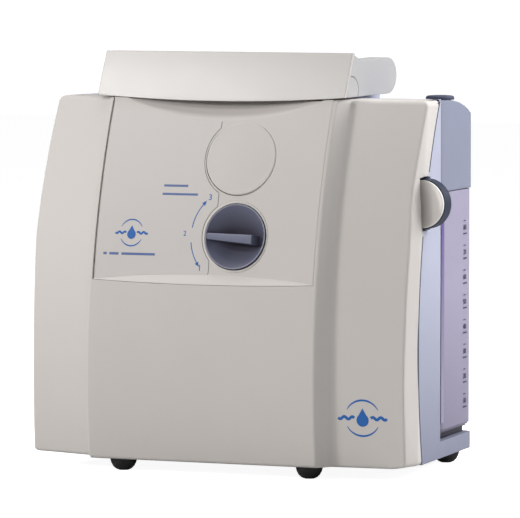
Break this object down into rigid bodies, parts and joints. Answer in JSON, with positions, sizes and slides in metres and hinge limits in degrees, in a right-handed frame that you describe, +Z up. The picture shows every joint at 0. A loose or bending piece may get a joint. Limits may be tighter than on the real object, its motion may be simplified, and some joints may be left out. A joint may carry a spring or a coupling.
{
  "type": "medical suction pump",
  "caption": "Portable ward suction pump with barrel-shaped casing, fold-down handle, vacuum knob, side canister with lid and release lever.",
  "frame": {"origin": "on the contact plane of the feet, under the middle of the whole outline left to right and front to back", "axes": "+X to the right as seen from the front, +Y to the back, +Z up"},
  "size_m": [0.3065, 0.178, 0.2915],
  "materials": {
    "shell": "fine-textured moulded plastic, warm light grey",
    "panel": "satin moulded plastic, warm light grey",
    "foil": "thin satin adhesive overlay",
    "knob": "satin slate-blue plastic",
    "housing": "fine-textured lavender-blue plastic",
    "handle": "fine-textured light grey plastic",
    "slate": "dark slate-blue plastic",
    "canister": "tinted clear polysulfone",
    "lid": "satin blue-grey plastic",
    "clear": "clear plastic",
    "white_plastic": "white moulded plastic",
    "seal": "grey silicone",
    "rubber": "black rubber",
    "steel": "zinc-plated steel",
    "brass": "turned brass",
    "alloy": "die-cast alloy",
    "motor": "lacquered motor steel",
    "black_plastic": "black moulded plastic",
    "hose": "translucent silicone hose"
  },
  "bodies": {
    "casing": {"front_shell": "shell", "control_panel": "panel", "panel_overlay": "foil", "gauge_blank": "panel", "regulator_body": "brass", "regulator_spring": "steel", "regulator_nut": "brass", "rear_housing": "housing", "docking_port": "slate", "docking_seal": "rubber", "lever_pin": "steel", "lever_spring": "steel", "feet": "rubber", "foot_screws": "steel", "shell_screws": "steel", "mains_inlet": "black_plastic", "switch_frame": "black_plastic", "pump_tray": "steel", "vibration_mounts": "rubber", "motor_cradle": "alloy", "motor_can": "motor", "motor_bearings": "steel", "crankcase": "alloy", "diaphragm": "rubber", "valve_plate": "alloy", "valve_flaps": "rubber", "pump_head": "alloy", "head_screws": "steel", "silencer": "black_plastic", "vacuum_hose": "hose", "regulator_hose": "hose", "exhaust_hose": "hose", "terminal_block": "white_plastic"},
    "handle": {"handle_frame": "handle", "handle_cover": "shell", "handle_pins": "steel"},
    "knob": {"vacuum_knob": "knob", "regulator_spindle": "brass"},
    "canister_assembly": {"canister": "canister", "canister_lid": "lid", "lid_seal": "seal", "float_cage": "clear", "lid_filter": "white_plastic"},
    "port_cap": {"port_cap": "slate"},
    "float_ball": {"float_ball": "white_plastic"},
    "lever": {"release_lever": "slate", "lever_cap": "shell"},
    "rotor": {"motor_shaft": "steel", "cooling_fan": "black_plastic", "eccentric": "steel"},
    "rod": {"connecting_rod": "alloy"},
    "switch_rocker": {"rocker_switch": "black_plastic"},
    "fuse_drawer": {"fuse_drawer": "black_plastic"}
  },
  "joints": [
    {"name": "handle_fold", "type": "hinge", "parent": "casing", "child": "handle", "pos_m": [-0.01655, 0.061, 0.2735], "axis": [-1, 0, 0], "range_deg": [0, 60]},
    {"name": "knob_turn", "type": "hinge", "parent": "casing", "child": "knob", "pos_m": [0.00865, -0.07774, 0.1653], "axis": [0, -0.9793, 0.2022], "range_deg": [-50, 50]},
    {"name": "canister_slide", "type": "slide", "parent": "casing", "child": "canister_assembly", "axis": [1, 0, 0], "range_m": [0, 0.09]},
    {"name": "port_cap_lift", "type": "slide", "parent": "canister_assembly", "child": "port_cap", "axis": [0, 0, 1], "range_m": [0, 0.015]},
    {"name": "float_rise", "type": "slide", "parent": "canister_assembly", "child": "float_ball", "axis": [0, 0, 1], "range_m": [0, 0.011]},
    {"name": "lever_press", "type": "hinge", "parent": "casing", "child": "lever", "pos_m": [0.13055, -0.04151, 0.1891], "axis": [0, 0, 1], "range_deg": [0, 14]},
    {"name": "motor_spin", "type": "hinge", "parent": "casing", "child": "rotor", "pos_m": [-0.07645, 0.01599, 0.074], "axis": [1, 0, 0], "continuous": true},
    {"name": "rod_stroke", "type": "slide", "parent": "casing", "child": "rod", "axis": [0, 0, 1], "range_m": [-0.005, 0]},
    {"name": "switch_press", "type": "hinge", "parent": "casing", "child": "switch_rocker", "pos_m": [-0.04945, 0.08099, 0.055], "axis": [-1, 0, 0], "range_deg": [0, 16]},
    {"name": "fuse_drawer_pull", "type": "slide", "parent": "casing", "child": "fuse_drawer", "axis": [0, 1, 0], "range_m": [0, 0.018]}
  ]
}
